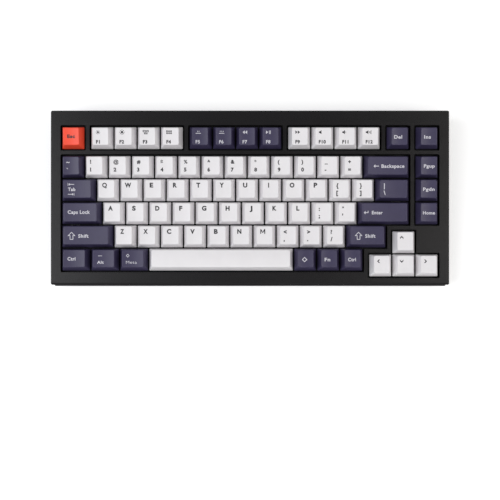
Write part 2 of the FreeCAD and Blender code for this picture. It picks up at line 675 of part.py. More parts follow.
def bottom_case():
    top = -TOP_CASE_DEPTH
    outline = tub_outline(top, LIP_FRONT, CASE_REAR, FOOT_HEIGHT, UNDER_CHAMFER, REAR_BEVEL, REAR_BREAK)
    solid = profile_prism(outline, -HALF_WIDTH, HALF_WIDTH)
    plan = rounded_prism(-HALF_WIDTH, HALF_WIDTH, LIP_FRONT, CASE_REAR, -45, 5, CORNER_RADIUS)
    solid = solid.common(plan)
    inner_x = HALF_WIDTH - SIDE_WALL
    inside = tub_outline(
        top + 1, LIP_FRONT + LIP_WALL, CASE_REAR - SIDE_WALL, FLOOR_HEIGHT, 1.0, REAR_BEVEL, REAR_BREAK - 1.8
    )
    posts = [box(x0, x1, y0, y1, -45, GASKET_SEAT) for x0, x1, y0, y1 in gasket_sites()]
    posts += [rod(3.1, x, y, -45, top) for x, y in SCREW_POINTS]
    board_bottom = DAUGHTER_TOP - DAUGHTER_THICKNESS
    posts += [rod(2.5, x, 64.0, -45, board_bottom) for x in (DAUGHTER_X[0] + 3, DAUGHTER_X[1] - 3)]
    reach = solid.fuse(box(-inner_x, inner_x, LIP_FRONT + LIP_WALL, CASE_REAR - SIDE_WALL, top, GASKET_SEAT))
    posts = [p.common(reach) for p in posts]
    tub = solid.cut(profile_prism(inside, -inner_x, inner_x)).multiFuse(posts)
    cutters = [screw_passage(x, y) for x, y in SCREW_POINTS]
    cutters += foot_blocks(FOOT_POCKET, 0.1)
    cutters += rear_cutouts()
    return tub.cut(Part.makeCompound(cutters)).removeSplitter()


def rear_cutouts():
    """The openings in the rear wall for the cable plug and for the mode switch."""
    width, height = USB_RECESS
    plug = box(-width / 2, width / 2, CASE_REAR - SIDE_WALL - 1, CASE_REAR + 5, -height / 2, height / 2)
    along = [e for e in plug.Edges if abs(e.tangentAt(e.FirstParameter).y) > 0.9]
    plug = copy_at(plug.makeFillet(2.8, along), USB_X, 0, USB_LEVEL)
    level = DAUGHTER_TOP + 1.7
    slot = box(
        SWITCH_X - 2.5, SWITCH_X + 2.5, CASE_REAR - SIDE_WALL - 1, CASE_REAR + 5, level - 1.2, level + 1.2
    )
    finger = box(SWITCH_X - 5.0, SWITCH_X + 5.0, CASE_REAR - 1.2, CASE_REAR + 5, level - 2.2, level + 2.2)
    return [plug, slot.fuse(finger)]


def foot_blocks(pocket, margin):
    """Rounded blocks under the four corners, from the desk up into their pockets, in the key plane."""
    half_x = FOOT_SIZE[0] / 2 + margin
    half_y = FOOT_SIZE[1] / 2 + margin
    front = slope_point(LIP_FRONT, floor_level(LIP_FRONT, FOOT_HEIGHT))[0] + 10.5 + CENTRING
    rear = REARMOST - REAR_BEVEL - 7.0 + CENTRING
    blocks = []
    for y in (front, rear):
        for x in (-FOOT_X, FOOT_X):
            block = rounded_prism(
                x - half_x, x + half_x, y - half_y, y + half_y, 0, FOOT_HEIGHT + pocket, 3.0 + margin
            )
            block.Placement = UNTILTED * block.Placement
            blocks.append(block)
    return blocks


def case_screw(x, y):
    radius, height = SCREW_HEAD
    screw = rod(SCREW_RADIUS, x, y, SCREW_SEAT, SCREW_SEAT + SCREW_LENGTH)
    screw = screw.fuse(rod(radius, x, y, SCREW_SEAT - height, SCREW_SEAT))
    corners = [
        Vector(x + 1.15 * math.cos(math.radians(a)), y + 1.15 * math.sin(math.radians(a)), SCREW_SEAT - height)
        for a in range(0, 361, 60)
    ]
    drive = Part.Face(Part.makePolygon(corners)).extrude(Vector(0, 0, 1.3))
    return screw.cut(drive).removeSplitter()


# --- Everything -----------------------------------------------------------------------------------
def main():
    os.makedirs("parts", exist_ok=True)
    keys = key_table()
    for node, solids in key_nodes(keys).items():
        save(node, place(solids))
    save("switch_bases", place(at_each_key(keys, [switch_base()])))
    save("switch_covers", place(at_each_key(keys, [switch_cover()])))
    save("switch_springs", place(at_each_key(keys, [switch_spring()])))
    save("switch_contacts", place(at_each_key(keys, switch_contacts())))
    save("hot_swap_sockets", place(at_each_key(keys, [hot_swap_socket()])))
    save("key_lamps", place(at_each_key(keys, [lamp()])))
    save_stabilisers(keys)
    save("switch_plate", place([switch_plate(keys)]))
    save("plate_foam", place(plate_foam(keys)))
    save("circuit_board", place([circuit_board(keys)]))
    save("controller_chips", place(controller_chips()))
    save("case_foam", place([case_foam()]))
    save("gasket_pads", place(gasket_pads()))
    save("daughter_board", place([daughter_board()]))
    save("usb_socket", place(usb_socket()))
    save("mode_switch_body", place([mode_switch_body()]))
    save("mode_switch_knob", place([mode_switch_knob()]))
    save("board_cable", place(board_cable()))
    save("top_case", place([top_case()]))
    save("bottom_case", place([bottom_case()]))
    save("case_screws", place([case_screw(x, y) for x, y in SCREW_POINTS]))
    save("rubber_feet", place(foot_blocks(FOOT_POCKET, 0.0)))


if __name__ == "__main__":
    main()
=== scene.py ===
import json
import math

import bmesh
import bpy
from mathutils import Matrix, Vector


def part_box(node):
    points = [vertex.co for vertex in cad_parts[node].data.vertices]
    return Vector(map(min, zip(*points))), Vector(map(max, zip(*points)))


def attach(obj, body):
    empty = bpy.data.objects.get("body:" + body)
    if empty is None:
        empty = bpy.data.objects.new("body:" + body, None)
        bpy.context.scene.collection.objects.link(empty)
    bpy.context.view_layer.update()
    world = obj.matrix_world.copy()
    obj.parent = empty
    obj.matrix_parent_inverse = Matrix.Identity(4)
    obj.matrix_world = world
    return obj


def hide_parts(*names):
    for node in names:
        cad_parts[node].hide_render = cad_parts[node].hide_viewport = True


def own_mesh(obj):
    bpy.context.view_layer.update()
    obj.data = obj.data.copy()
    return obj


# Looks of the mechanical keyboard. Shapes are drawn in millimetres in the key plane:
# x to the right, y to the rear along the slope, z out of the keys. MM turns them into metres.

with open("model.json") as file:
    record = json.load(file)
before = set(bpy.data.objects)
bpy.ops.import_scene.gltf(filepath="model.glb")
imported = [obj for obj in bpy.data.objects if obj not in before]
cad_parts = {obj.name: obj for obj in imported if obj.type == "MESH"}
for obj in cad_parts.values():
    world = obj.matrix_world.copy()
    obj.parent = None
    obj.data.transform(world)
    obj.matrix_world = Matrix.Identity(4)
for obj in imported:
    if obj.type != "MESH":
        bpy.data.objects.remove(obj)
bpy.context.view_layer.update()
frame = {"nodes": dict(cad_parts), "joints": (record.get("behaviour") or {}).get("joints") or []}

MM = 0.001

# --- Keycaps ----------------------------------------------------------------------------------------
# For each row of keys: rear height, front height, rear inset and front inset of the top.
CAP_ROWS = {
    0: (10.2, 9.0, 1.8, 2.3),
    1: (10.2, 9.0, 1.5, 2.0),
    2: (9.2, 8.4, 1.25, 2.2),
    3: (8.8, 8.5, 1.0, 2.0),
    4: (8.6, 9.0, 0.8, 2.4),
    5: (8.6, 9.4, 0.9, 3.0),
}
SIDE_INSET = 2.6
DISH = 0.6
CROWN = 0.7
CAP_WALL = 1.4
CAP_ROOF = 1.8
BASE_RADIUS = 0.8
TOP_RADIUS = 1.2
EDGE_RADIUS = 0.5
RIM_BREAK = 0.12
SOCKET_RADIUS = 2.6
SOCKET_START = 1.05
CROSS = (4.2, 1.5)
LEGEND_PROUD = 0.03
LEGEND_SUNK = 0.3
LEGEND_STEP = 1.0
STEP_LENGTH = 1.6
FEWEST_STEPS = 5
STEPS_DEEP = 4
EDGE_STEPS = 5
WALL_SHARES = (0.0, 0.04, 0.3, 0.6, 0.9, 1.0)
TOP_SHARES = (0.96, 0.85, 0.7, 0.5, 0.3, 0.12, 0.03)
INNER_RADIUS = 0.6
LEAST_CAP_DEPTH = 15.0
STABILISED_HALF_WIDTH = 17.0
SPACE_HALF_WIDTH = 40.0

# --- Switch parts, measured from the top of the switch plate ----------------------------------------
CAP_ABOVE_PLATE = 6.0
SPRING_FOOT = -4.15
SPRING_TOP = 4.9
SPRING_RADIUS = 1.92
SPRING_WIRE = 0.16
SPRING_TURNS = 11
SMALL_SPREAD = 11.94
SPACE_SPREAD = 50.0
STEM_CROSS = (4.0, 1.2)
STEM_CROSS_ENDS = (6.9, 10.5)
POLE_RADII = (0.98, 0.45)
POLE_ENDS = (-3.5, 5.0)
# Blocks of the stems: x, y, bottom, top, half width, half depth and edge.
SWITCH_STEM = {
    "skirt": (0.0, 0.0, 0.2, 5.5, 4.2, 3.45, 0.25),
    "neck": (0.0, 0.0, 5.4, 7.0, 3.5, 2.75, 0.25),
    "left_rail": (-3.9, 0.0, 0.4, 5.2, 0.45, 1.0, 0.12),
    "right_rail": (3.9, 0.0, 0.4, 5.2, 0.45, 1.0, 0.12),
}
END_STEM = {
    "left_cheek": (-1.75, 0.0, -0.6, 2.4, 0.65, 3.0, 0.15),
    "right_cheek": (1.75, 0.0, -0.6, 2.4, 0.65, 3.0, 0.15),
    "top": (0.0, 0.0, 2.2, 7.0, 2.4, 3.0, 0.2),
    "front_wall": (0.0, -2.6, -0.6, 2.4, 1.2, 0.4, 0.12),
}

# --- Camera -----------------------------------------------------------------------------------------
CAMERA_DISTANCE = 650.0
CAMERA_WIDTH = 411.8
CAMERA_FORWARD = 39.7
SENSOR = 36.0

# --- The key plane, from the way the keys travel ----------------------------------------------------
NORMAL = -Vector(frame["joints"][0]["axis"]).normalized()
UPHILL = Vector((0.0, NORMAL.z, -NORMAL.y))
PLANE = Matrix((Vector((1.0, 0.0, 0.0)), UPHILL, NORMAL)).transposed()


def to_plane(point):
    """A point of the frame, in metres, as millimetres in the key plane."""
    return (PLANE.transposed() @ Vector(point)) / MM


def plane_matrix(centre):
    """Takes local millimetres about a key-plane centre into the frame, in metres."""
    return PLANE.to_4x4() @ Matrix.Translation(Vector(centre) * MM) @ Matrix.Scale(MM, 4)


# --- Reading the frame ------------------------------------------------------------------------------
def solids_of(node):
    """The key-plane box (low, high) of each solid of a CAD node."""
    bm = bmesh.new()
    bm.from_mesh(frame["nodes"][node].data)
    bmesh.ops.remove_doubles(bm, verts=bm.verts, dist=1e-7)
    found = []
    seen = set()
    for first in bm.verts:
        if first in seen:
            continue
        seen.add(first)
        island = [first]
        for vert in island:
            for edge in vert.link_edges:
                other = edge.other_vert(vert)
                if other not in seen:
                    seen.add(other)
                    island.append(other)
        points = [to_plane(v.co) for v in island]
        low = Vector([min(p[i] for p in points) for i in range(3)])
        high = Vector([max(p[i] for p in points) for i in range(3)])
        found.append((low, high))
    bm.free()
    return found


def caps_of(node):
    """The boxes of a node's keycaps, from rear to front and then from left to right."""
    caps = [(low, high) for low, high in solids_of(node) if high.y - low.y > LEAST_CAP_DEPTH]
    return sorted(caps, key=lambda box: (-round(box[0].y), box[0].x))


# --- Mesh helpers -----------------------------------------------------------------------------------
def add_object(name, bm, materials, body):
    """Makes a bmesh, already in the frame's metres, into a piece that rides on a body."""
    bmesh.ops.recalc_face_normals(bm, faces=bm.faces)
    mesh = bpy.data.meshes.new(name)
    bm.to_mesh(mesh)
    bm.free()
    for material in materials:
        mesh.materials.append(material)
    obj = bpy.data.objects.new(name, mesh)
    bpy.context.scene.collection.objects.link(obj)
    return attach(obj, body)


def add_mesh(bm, other, matrix, material_index=0, smooth=False):
    """Adds another bmesh to bm, moved by matrix, and frees it."""
    copies = {v: bm.verts.new(matrix @ v.co) for v in other.verts}
    for face in other.faces:
        made = bm.faces.new([copies[v] for v in face.verts])
        made.material_index = material_index
        made.smooth = smooth
    other.free()


def rounded_ring(half_x, half_y, radius, steps_x, steps_y, arc_steps=6):
    """Points round a rounded rectangle, anticlockwise from the middle of its lower right corner."""
    inner_x = half_x - radius
    inner_y = half_y - radius
    points = []
    corners = ((1, -1, -90), (1, 1, 0), (-1, 1, 90), (-1, -1, 180))
    for n, (sx, sy, start) in enumerate(corners):
        for k in range(arc_steps + 1):
            angle = math.radians(start + 90 * k / arc_steps)
            points.append((sx * inner_x + radius * math.cos(angle), sy * inner_y + radius * math.sin(angle)))
        steps = steps_y if n % 2 == 0 else steps_x
        last = points[-1]
        next_sx, next_sy, _ = corners[(n + 1) % 4]
        if n % 2 == 0:
            target = (sx * half_x, next_sy * inner_y)
        else:
            target = (next_sx * inner_x, sy * half_y)
        for k in range(1, steps):
            t = k / steps
            points.append((last[0] + (target[0] - last[0]) * t, last[1] + (target[1] - last[1]) * t))
    return points


def loft(bm, rings, material_index=0):
    """Joins rings of equally many points and closes both ends with a face."""
    rows = [[bm.verts.new(p) for p in ring] for ring in rings]
    count = len(rows[0])
    for lower, upper in zip(rows, rows[1:]):
        for k in range(count):
            quad = (lower[k], lower[(k + 1) % count], upper[(k + 1) % count], upper[k])
            face = bm.faces.new(quad)
            face.smooth = True
            face.material_index = material_index
    for row in (rows[0][::-1], rows[-1]):
        face = bm.faces.new(row)
        face.smooth = True
        face.material_index = material_index


def curve_to_bmesh(curve):
    """The closed shell of an extruded flat curve."""
    holder = bpy.data.objects.new("shape", curve)
    mesh = bpy.data.meshes.new_from_object(holder)
    bm = bmesh.new()
    bm.from_mesh(mesh)
    bmesh.ops.remove_doubles(bm, verts=bm.verts, dist=1e-4)
    bpy.data.objects.remove(holder)
    bpy.data.curves.remove(curve)
    bpy.data.meshes.remove(mesh)
    return bm


def flat_shape(loops):
    """A shell one millimetre thick from closed outlines, the inner ones being holes."""
    curve = bpy.data.curves.new("shape", "CURVE")
    curve.dimensions = "2D"
    curve.fill_mode = "BOTH"
    curve.extrude = 0.5
    for loop in loops:
        spline = curve.splines.new("POLY")
        spline.points.add(len(loop) - 1)
        for point, (x, y) in zip(spline.points, loop):
            point.co = (x, y, 0.0, 1.0)
        spline.use_cyclic_u = True
    return curve_to_bmesh(curve)


def circle(radius, x=0.0, y=0.0, count=24):
    return [
        (x + radius * math.cos(2 * math.pi * k / count), y + radius * math.sin(2 * math.pi * k / count))
        for k in range(count)
    ]


def cross_outline(length, width):
    a = length / 2
    b = width / 2
    return [
        (a, -b), (a, b), (b, b), (b, a), (-b, a), (-b, b),
        (-a, b), (-a, -b), (-b, -b), (-b, -a), (b, -a), (b, -b),
    ]


def rounded_block(bm, x, y, z0, z1, half_x, half_y, edge, matrix, material_index=0):
    """A block with rounded upright corners and broken edges at both ends."""
    rings = []
    for z, inset in ((z0, edge), (z0 + edge, 0.0), (z1 - edge, 0.0), (z1, edge)):
        ring = rounded_ring(half_x - inset, half_y - inset, edge + 0.1, 1, 1, 3)
        rings.append([matrix @ Vector((x + px, y + py, z)) for px, py in ring])
    loft(bm, rings, material_index)


# --- Legend shapes, in millimetres about their own left end and baseline ----------------------------
def font_ratio():
    """The height of a capital letter in the built-in font, as a share of its size."""
    bm = letters("H", 1.0, 1.0, 0.0)
    height = max(v.co.y for v in bm.verts) - min(v.co.y for v in bm.verts)
    bm.free()
    return height


def letters(body, height, ratio, weight):
    curve = bpy.data.curves.new("letters", "FONT")
    curve.body = body
    curve.size = height / ratio
    curve.offset = weight
    curve.space_character = 1.1
    curve.extrude = 0.5
    curve.resolution_u = 4
    return curve_to_bmesh(curve)


FONT_RATIO = font_ratio()
DARK_WEIGHT = 0.07
PALE_WEIGHT = 0.045
FINE_WEIGHTS = {"@": 0.04, "$": 0.04, "%": 0.04, "Q": 0.055, "*": 0.02, "?": 0.05, "\"": 0.03, "Meta": 0.0}


def word(body, left, middle, height, width=None):
    """Letters whose ink starts at left and whose capitals are centred on middle."""
    return {"body": body, "left": left, "middle": middle, "height": height, "width": width}


def icon(loops, left, middle):
    """Outlines that start at left and are centred on middle."""
    return {"loops": loops, "left": left, "middle": middle}


def legend_bmesh(item, weight):
    if "loops" in item:
        bm = flat_shape(item["loops"])
        centre = (max(v.co.y for v in bm.verts) + min(v.co.y for v in bm.verts)) / 2
    else:
        stroke = item["height"] * min(weight, FINE_WEIGHTS.get(item["body"], weight))
        bm = letters(item["body"], item["height"], FONT_RATIO, stroke)
        centre = item["height"] / 2
    start = min(v.co.x for v in bm.verts)
    extent = max(v.co.x for v in bm.verts) - start
    stretch = item["width"] / extent if item.get("width") else 1.0
    for v in bm.verts:
        v.co.x = (v.co.x - start) * stretch
        v.co.y -= centre
    return bm


def arrow(length, head=2.8, shaft=0.6):
    """An arrow that points to the left."""
    tip = 0.5 * head
    return [
        (0, 0), (tip, head / 2), (tip, shaft / 2), (length, shaft / 2),
        (length, -shaft / 2), (tip, -shaft / 2), (tip, -head / 2),
    ]


def mirrored(loop, length):
    return [(length - x, y) for x, y in loop[::-1]]


def scaled(loops, factor):
    return [[(x * factor, y * factor) for x, y in loop] for loop in loops]


def return_arrow(length=3.8, rise=1.5, shaft=0.55):
    """An arrow to the left whose tail turns up."""
    body = arrow(length, 2.8, shaft)
    return body[:3] + [(length - shaft, shaft / 2), (length - shaft, rise), (length, rise)] + body[4:]


def shift_arrow(size=6.4, line=0.5):
    """An open arrow that points up, as an outline with a hole."""
    def outline(s, inset):
        wing = s / 2
        stem = s * 0.22
        shoulder = -s * 0.02
        k = 1 + math.sqrt(2)
        return [
            (0, wing - inset * math.sqrt(2)),
            (wing - inset * k, shoulder + inset),
            (stem - inset, shoulder + inset),
            (stem - inset, -wing + inset),
            (-stem + inset, -wing + inset),
            (-stem + inset, shoulder + inset),
            (-wing + inset * k, shoulder + inset),
        ]
    return [outline(size, 0.0), outline(size, line)]


def chevron(turn, size=2.8, line=0.8):
    """A chevron that points up, turned by quarter turns."""
    half = size / 2
    drop = line * math.sqrt(2)
    points = [
        (-half, -half / 2), (0, half / 2), (half, -half / 2),
        (half, -half / 2 - drop), (0, half / 2 - drop), (-half, -half / 2 - drop),
    ]
    for _ in range(turn):
        points = [(-y, x) for x, y in points]
    return [points]


def bar(x0, x1, y0, y1):
    return [(x0, y0), (x1, y0), (x1, y1), (x0, y1)]


def window(x0, x1, y0, y1, line=0.38):
    """An open rectangle, as an outline with a hole."""
    return [bar(x0, x1, y0, y1), bar(x0 + line, x1 - line, y0 + line, y1 - line)]


def sun(radius, ray, gap=0.3, half_line=0.19):
    """A disc with eight rays."""
    loops = [circle(radius)]
    for k in range(8):
        angle = math.pi * k / 4
        along = Vector((math.cos(angle), math.sin(angle)))
        across = Vector((-along.y, along.x)) * half_line
        start = along * (radius + gap)
        end = along * (radius + gap + ray)
        loops.append([tuple(p) for p in (start - across, end - across, end + across, start + across)])
    return loops


def key_light(rays, pitch=0.95, half_line=0.15):
    """A lit key: a bar with short strokes above it."""
    loops = [bar(-1.7, 1.7, -1.1, -0.75)]
    for k in range(rays):
        x = (k - (rays - 1) / 2) * pitch
        loops.append(bar(x - half_line, x + half_line, -0.2, 0.75))
    return loops


def triangle(x, direction, size=1.1, length=1.43):
    """A triangle that points along direction, 1 or -1, from its upright side at x."""
    return [(x, size), (x, -size), (x + direction * length, 0)][::direction]


def speaker(waves):
    """A loudspeaker with bars that grow away from it."""
    loops = [[(-1.7, -0.5), (-1.0, -0.5), (0.0, -1.3), (0.0, 1.3), (-1.0, 0.5), (-1.7, 0.5)]]
    for k in range(waves):
        x = 0.45 + 0.6 * k
        loops.append(bar(x, x + 0.28, -0.55 - 0.35 * k, 0.55 + 0.35 * k))
    return loops


def tiles(side=0.95):
    """A grid of small squares."""
    return [bar(x, x + side, y, y + side) for x in (-1.8, -0.5, 0.8) for y in (-1.15, 0.15)]


def overlapping_windows():
    return window(-1.9, 0.1, -0.1, 1.2) + window(0.4, 1.9, -0.1, 1.2) + window(-1.1, 1.1, -1.4, -0.4)


def diamond(size):
    """An open diamond, as an outline with a hole."""
    return [[(s, 0), (0, s), (-s, 0), (0, -s)] for s in (size, size * 0.6)]


ICON_SCALE = 1.25
FUNCTION_ICONS = (
    sun(0.62, 0.4), sun(0.8, 0.6), overlapping_windows(), tiles(), key_light(2), key_light(3),
    [triangle(-0.1, -1), triangle(1.5, -1)],
    [triangle(-1.5, 1), bar(0.5, 0.85, -1.1, 1.1), bar(1.2, 1.55, -1.1, 1.1)],
    [triangle(-1.5, 1), triangle(0.1, 1)],
    speaker(0), speaker(1), speaker(3),
)

# --- What each keycap says --------------------------------------------------------------------------
# Places on a top are measured from its left side and from its rear side.
SIGN_LEFT = 2.8
NUMBER_SIGN = (4.2, 2.8)
OTHER_SIGN = (4.7, 3.1)
LOWER_SIGN_LINE = 10.5
FUNCTION_ICON_LINE = 3.7
FUNCTION_NAME_LINE = 11.4
LETTER_MIDDLE = 4.9
LETTER_LINE = 4.3
LETTER_HEIGHT = 3.4
M_HEIGHT = 3.9
LETTER_WIDTHS = {
    "q": 3.8, "w": 5.1, "e": 2.8, "r": 3.1, "t": 3.1, "y": 3.4, "u": 3.5, "i": 0.8, "o": 3.9, "p": 3.0,
    "a": 3.7, "s": 2.9, "d": 3.4, "f": 2.6, "g": 3.7, "h": 3.3, "j": 2.3, "k": 3.3, "l": 2.6,
    "z": 3.0, "x": 3.5, "c": 3.6, "v": 3.7, "b": 3.1, "n": 3.4, "m": 4.0,
}
SPELLED = {
    "-": "minus", "=": "equals", "[": "left_bracket", "]": "right_bracket", "'": "quote",
    ";": "semicolon", ",": "comma", ".": "period", "/": "slash",
}


def bold_m(width, height, stroke=0.72):
    """The letter M, whose inner corners the font closes up when it is made bold."""
    middle = width / 2
    inner = width - stroke
    crotch = 0.58 * height
    return [
        (0, 0), (stroke, 0), (stroke, crotch), (middle, 0.14 * height), (inner, crotch), (inner, 0),
        (width, 0), (width, height), (inner, height), (middle, 0.42 * height), (stroke, height), (0, height),
    ]


def letter_legend(letter):
    width = LETTER_WIDTHS[letter]
    left = LETTER_MIDDLE - width / 2
    if letter == "m":
        return [icon([bold_m(width, M_HEIGHT)], left, LETTER_LINE)]
    return [word(letter.upper(), left, LETTER_LINE, LETTER_HEIGHT, width)]


def pair_legend(lower, upper, row):
    """Two signs, one above the other, a little smaller on the number row."""
    line, height = NUMBER_SIGN if row == 1 else OTHER_SIGN
    return [word(upper, SIGN_LEFT, line, height), word(lower, SIGN_LEFT, LOWER_SIGN_LINE, height)]


def plain_key(characters, row):
    """The name and legend of a letter or punctuation key, from 'q' or from lower and upper signs."""
    name = SPELLED.get(characters[0], characters[0])
    if len(characters) == 1:
        return name, row, letter_legend(characters)
    return name, row, pair_legend(characters[0], characters[1], row)


def function_key(number):
    picture = icon(scaled(FUNCTION_ICONS[number - 1], ICON_SCALE), SIGN_LEFT, FUNCTION_ICON_LINE)
    return f"f{number}", 0, [picture, word(f"F{number}", SIGN_LEFT, FUNCTION_NAME_LINE, 2.5)]


def shift_legend(left):
    return [icon(shift_arrow(), left, 7.8), word("Shift", left + 8.6, 8.0, 2.6, 8.4)]


def tab_legend(length=4.6):
    """Arrows against stops, above and below the word."""
    back = arrow(length, 2.2, 0.5)
    left_stop = bar(-0.6, -0.25, -1.1, 1.1)
    right_stop = bar(length + 0.25, length + 0.6, -1.1, 1.1)
    return [
        icon([left_stop, back], 3.6, 3.7),
        word("Tab", 3.7, 7.7, 2.6, 6.0),
        icon([mirrored(back, length), right_stop], 3.6, 11.7),
    ]


# For each node: the name, row and legends of its keycaps, from rear to front and from left to right.
KEYS = {
    "escape_key": [("escape", 0, [word("Esc", 3.2, 7.0, 2.5, 6.4)])],
    "keys_f1_f4": [function_key(n) for n in range(1, 5)],
    "keys_f5_f8": [function_key(n) for n in range(5, 9)],
    "keys_f9_f12": [function_key(n) for n in range(9, 13)],
    "delete_key": [("delete", 0, [word("Del", 2.0, 7.5, 2.6, 6.6)])],
    "insert_key": [("insert", 0, [word("Ins", 2.6, 7.5, 2.6, 5.6)])],
    "backquote_key": [("backquote", 1, [word("~", 2.6, 4.4, 3.0), word("`", 2.6, 10.7, 3.0)])],
    "backspace_key": [
        ("backspace", 1, [icon([arrow(4.4)], 4.4, 7.7), word("Backspace", 10.8, 7.7, 2.6, 18.6)]),
    ],
    "tab_key": [("tab", 2, tab_legend())],
    "backslash_key": [("backslash", 2, [word("|", 3.4, 4.7, 3.4), word("\\", 3.2, 10.5, 3.2)])],
    "caps_lock_key": [("caps_lock", 3, [word("Caps Lock", 3.5, 7.4, 2.7, 18.0)])],
    "enter_key": [("enter", 3, [icon([return_arrow()], 1.3, 7.8), word("Enter", 7.9, 7.8, 2.6, 8.8)])],
    "left_shift_key": [("left_shift", 4, shift_legend(3.4))],
    "right_shift_key": [("right_shift", 4, shift_legend(3.4))],
    "left_modifier_keys": [
        ("left_control", 5, [word("Ctrl", 3.4, 7.4, 2.6, 6.4)]),
        ("left_alt", 5, [icon([bar(-1.6, 1.6, -0.2, 0.2)], 4.4, 5.0), word("Alt", 3.6, 10.2, 2.2, 5.4)]),
        ("left_meta", 5, [icon(diamond(1.5), 3.2, 4.8), word("Meta", 3.3, 10.2, 2.2, 8.8)]),
    ],
    "right_modifier_keys": [
        ("right_meta", 5, [icon(diamond(2.2), 3.4, 8.0)]),
        ("function_shift", 5, [word("Fn", 2.8, 8.0, 2.6, 4.6)]),
        ("right_control", 5, [word("Ctrl", 2.8, 8.0, 2.6, 6.4)]),
    ],
    "page_keys": [
        ("page_up", 1, [word("Pgup", 2.4, 7.6, 2.5, 8.8)]),
        ("page_down", 2, [word("Pgdn", 1.9, 7.6, 2.5, 9.4)]),
        ("home", 3, [word("Home", 1.8, 8.0, 2.5, 9.8)]),
    ],
    "space_bar": [("space_bar", 5, [])],
    "up_key": [("up", 4, [icon(chevron(0), 2.2, 4.4)])],
    "left_key": [("left", 5, [icon(chevron(1), 2.6, 4.6)])],
    "down_key": [("down", 5, [icon(chevron(2), 2.2, 4.6)])],
    "right_key": [("right", 5, [icon(chevron(3), 2.6, 4.6)])],
    "keys_brackets": [plain_key(c, r) for c, r in (("-_", 1), ("=+", 1), ("[{", 2), ("]}", 2), ("'\"", 3))],
}
# The columns of letter keys, from the number row to the front.
FINGERS = {
    "keys_1qaz": ("1!", "q", "a", "z"),
    "keys_2wsx": ("2@", "w", "s", "x"),
    "keys_3edc": ("3#", "e", "d", "c"),
    "keys_4rfv": ("4$", "r", "f", "v"),
    "keys_5tgb": ("5%", "t", "g", "b"),
    "keys_6yhn": ("6^", "y", "h", "n"),
    "keys_7ujm": ("7&", "u", "j", "m"),
    "keys_8ik": ("8*", "i", "k", ",<"),
    "keys_9ol": ("9(", "o", "l", ".>"),
    "keys_0p": ("0)", "p", ";:", "/?"),
}
for finger_node, column in FINGERS.items():
    KEYS[finger_node] = [plain_key(characters, 1 + n) for n, characters in enumerate(column)]


# --- Keycap geometry --------------------------------------------------------------------------------
class Cap:
    """The surfaces of one keycap, in millimetres about the middle of its lower edge."""

    def __init__(self, box, row):
        low, high = box
        self.half_x = (high.x - low.x) / 2
        self.half_y = (high.y - low.y) / 2
        self.centre = Vector(((low.x + high.x) / 2, (low.y + high.y) / 2, low.z))
        self.rear_height, self.front_height, rear_inset, front_inset = CAP_ROWS[row]
        self.rear = self.half_y - rear_inset
        self.front = -self.half_y + front_inset
        self.middle = (self.rear + self.front) / 2
        self.top_x = self.half_x - SIDE_INSET
        self.top_y = (self.rear - self.front) / 2
        self.is_space = self.half_x > SPACE_HALF_WIDTH
        self.steps_x = max(FEWEST_STEPS, round(self.half_x / STEP_LENGTH))

    def spread(self):
        """How far the outer sockets are from the middle, or nought if there are none."""
        if self.is_space:
            return SPACE_SPREAD
        return SMALL_SPREAD if self.half_x > STABILISED_HALF_WIDTH else 0.0

    def top(self, x, y):
        """The height of the top surface, before its edge is rounded."""
        along = (y - self.front) / (self.rear - self.front)
        plane = self.front_height + (self.rear_height - self.front_height) * along
        if self.is_space:
            return plane - CROWN * ((y - self.middle) / self.top_y) ** 2
        return plane - DISH * (1 - min(1.0, (x / self.top_x) ** 2))

    def ring(self, half_x, half_y, radius, middle):
        return [(x, y + middle) for x, y in rounded_ring(half_x, half_y, radius, self.steps_x, STEPS_DEEP)]

    def outer_rings(self):
        """From the lower rim up the walls, over the edge and in to the middle of the top."""
        edge = EDGE_RADIUS
        base = self.ring(self.half_x, self.half_y, BASE_RADIUS, 0.0)
        shoulder = self.ring(self.top_x, self.top_y, TOP_RADIUS, self.middle)
        rim = self.ring(self.half_x - RIM_BREAK, self.half_y - RIM_BREAK, BASE_RADIUS, 0.0)
        rings = [[(x, y, 0.0) for x, y in rim]]
        for t in WALL_SHARES:
            ring = []
            for (bx, by), (sx, sy) in zip(base, shoulder):
                height = RIM_BREAK + t * (self.top(sx, sy) - edge - RIM_BREAK)
                ring.append((bx + (sx - bx) * t, by + (sy - by) * t, height))
            rings.append(ring)
        for k in range(1, EDGE_STEPS + 1):
            angle = math.radians(90 / EDGE_STEPS * k)
            inset = edge * (1 - math.cos(angle))
            drop = edge * (1 - math.sin(angle))
            ring = self.ring(self.top_x - inset, self.top_y - inset, TOP_RADIUS - inset, self.middle)
            rings.append([(x, y, self.top(x, y) - drop) for x, y in ring])
        for share in TOP_SHARES:
            half_x = (self.top_x - edge) * share
            half_y = (self.top_y - edge) * share
            ring = self.ring(half_x, half_y, (TOP_RADIUS - edge) * share, self.middle)
            rings.append([(x, y, self.top(x, y)) for x, y in ring])
        return rings

    def inner_rings(self):
        """From the ceiling of the hollow down to its mouth."""
        rings = []
        for t in (1.0, 0.5, 0.0):
            half_x = self.half_x - CAP_WALL - SIDE_INSET * t
            half_y = (self.half_y - CAP_WALL) * (1 - t) + (self.top_y - CAP_WALL) * t
            ring = self.ring(half_x, half_y, INNER_RADIUS, self.middle * t)
            rings.append([(x, y, (self.top(x, y) - CAP_ROOF) * t) for x, y in ring])
        return rings


def cap_shell(cap):
    """The keycap's hollow body, without its legends."""
    bm = bmesh.new()
    loft(bm, cap.inner_rings() + cap.outer_rings())
    return bm


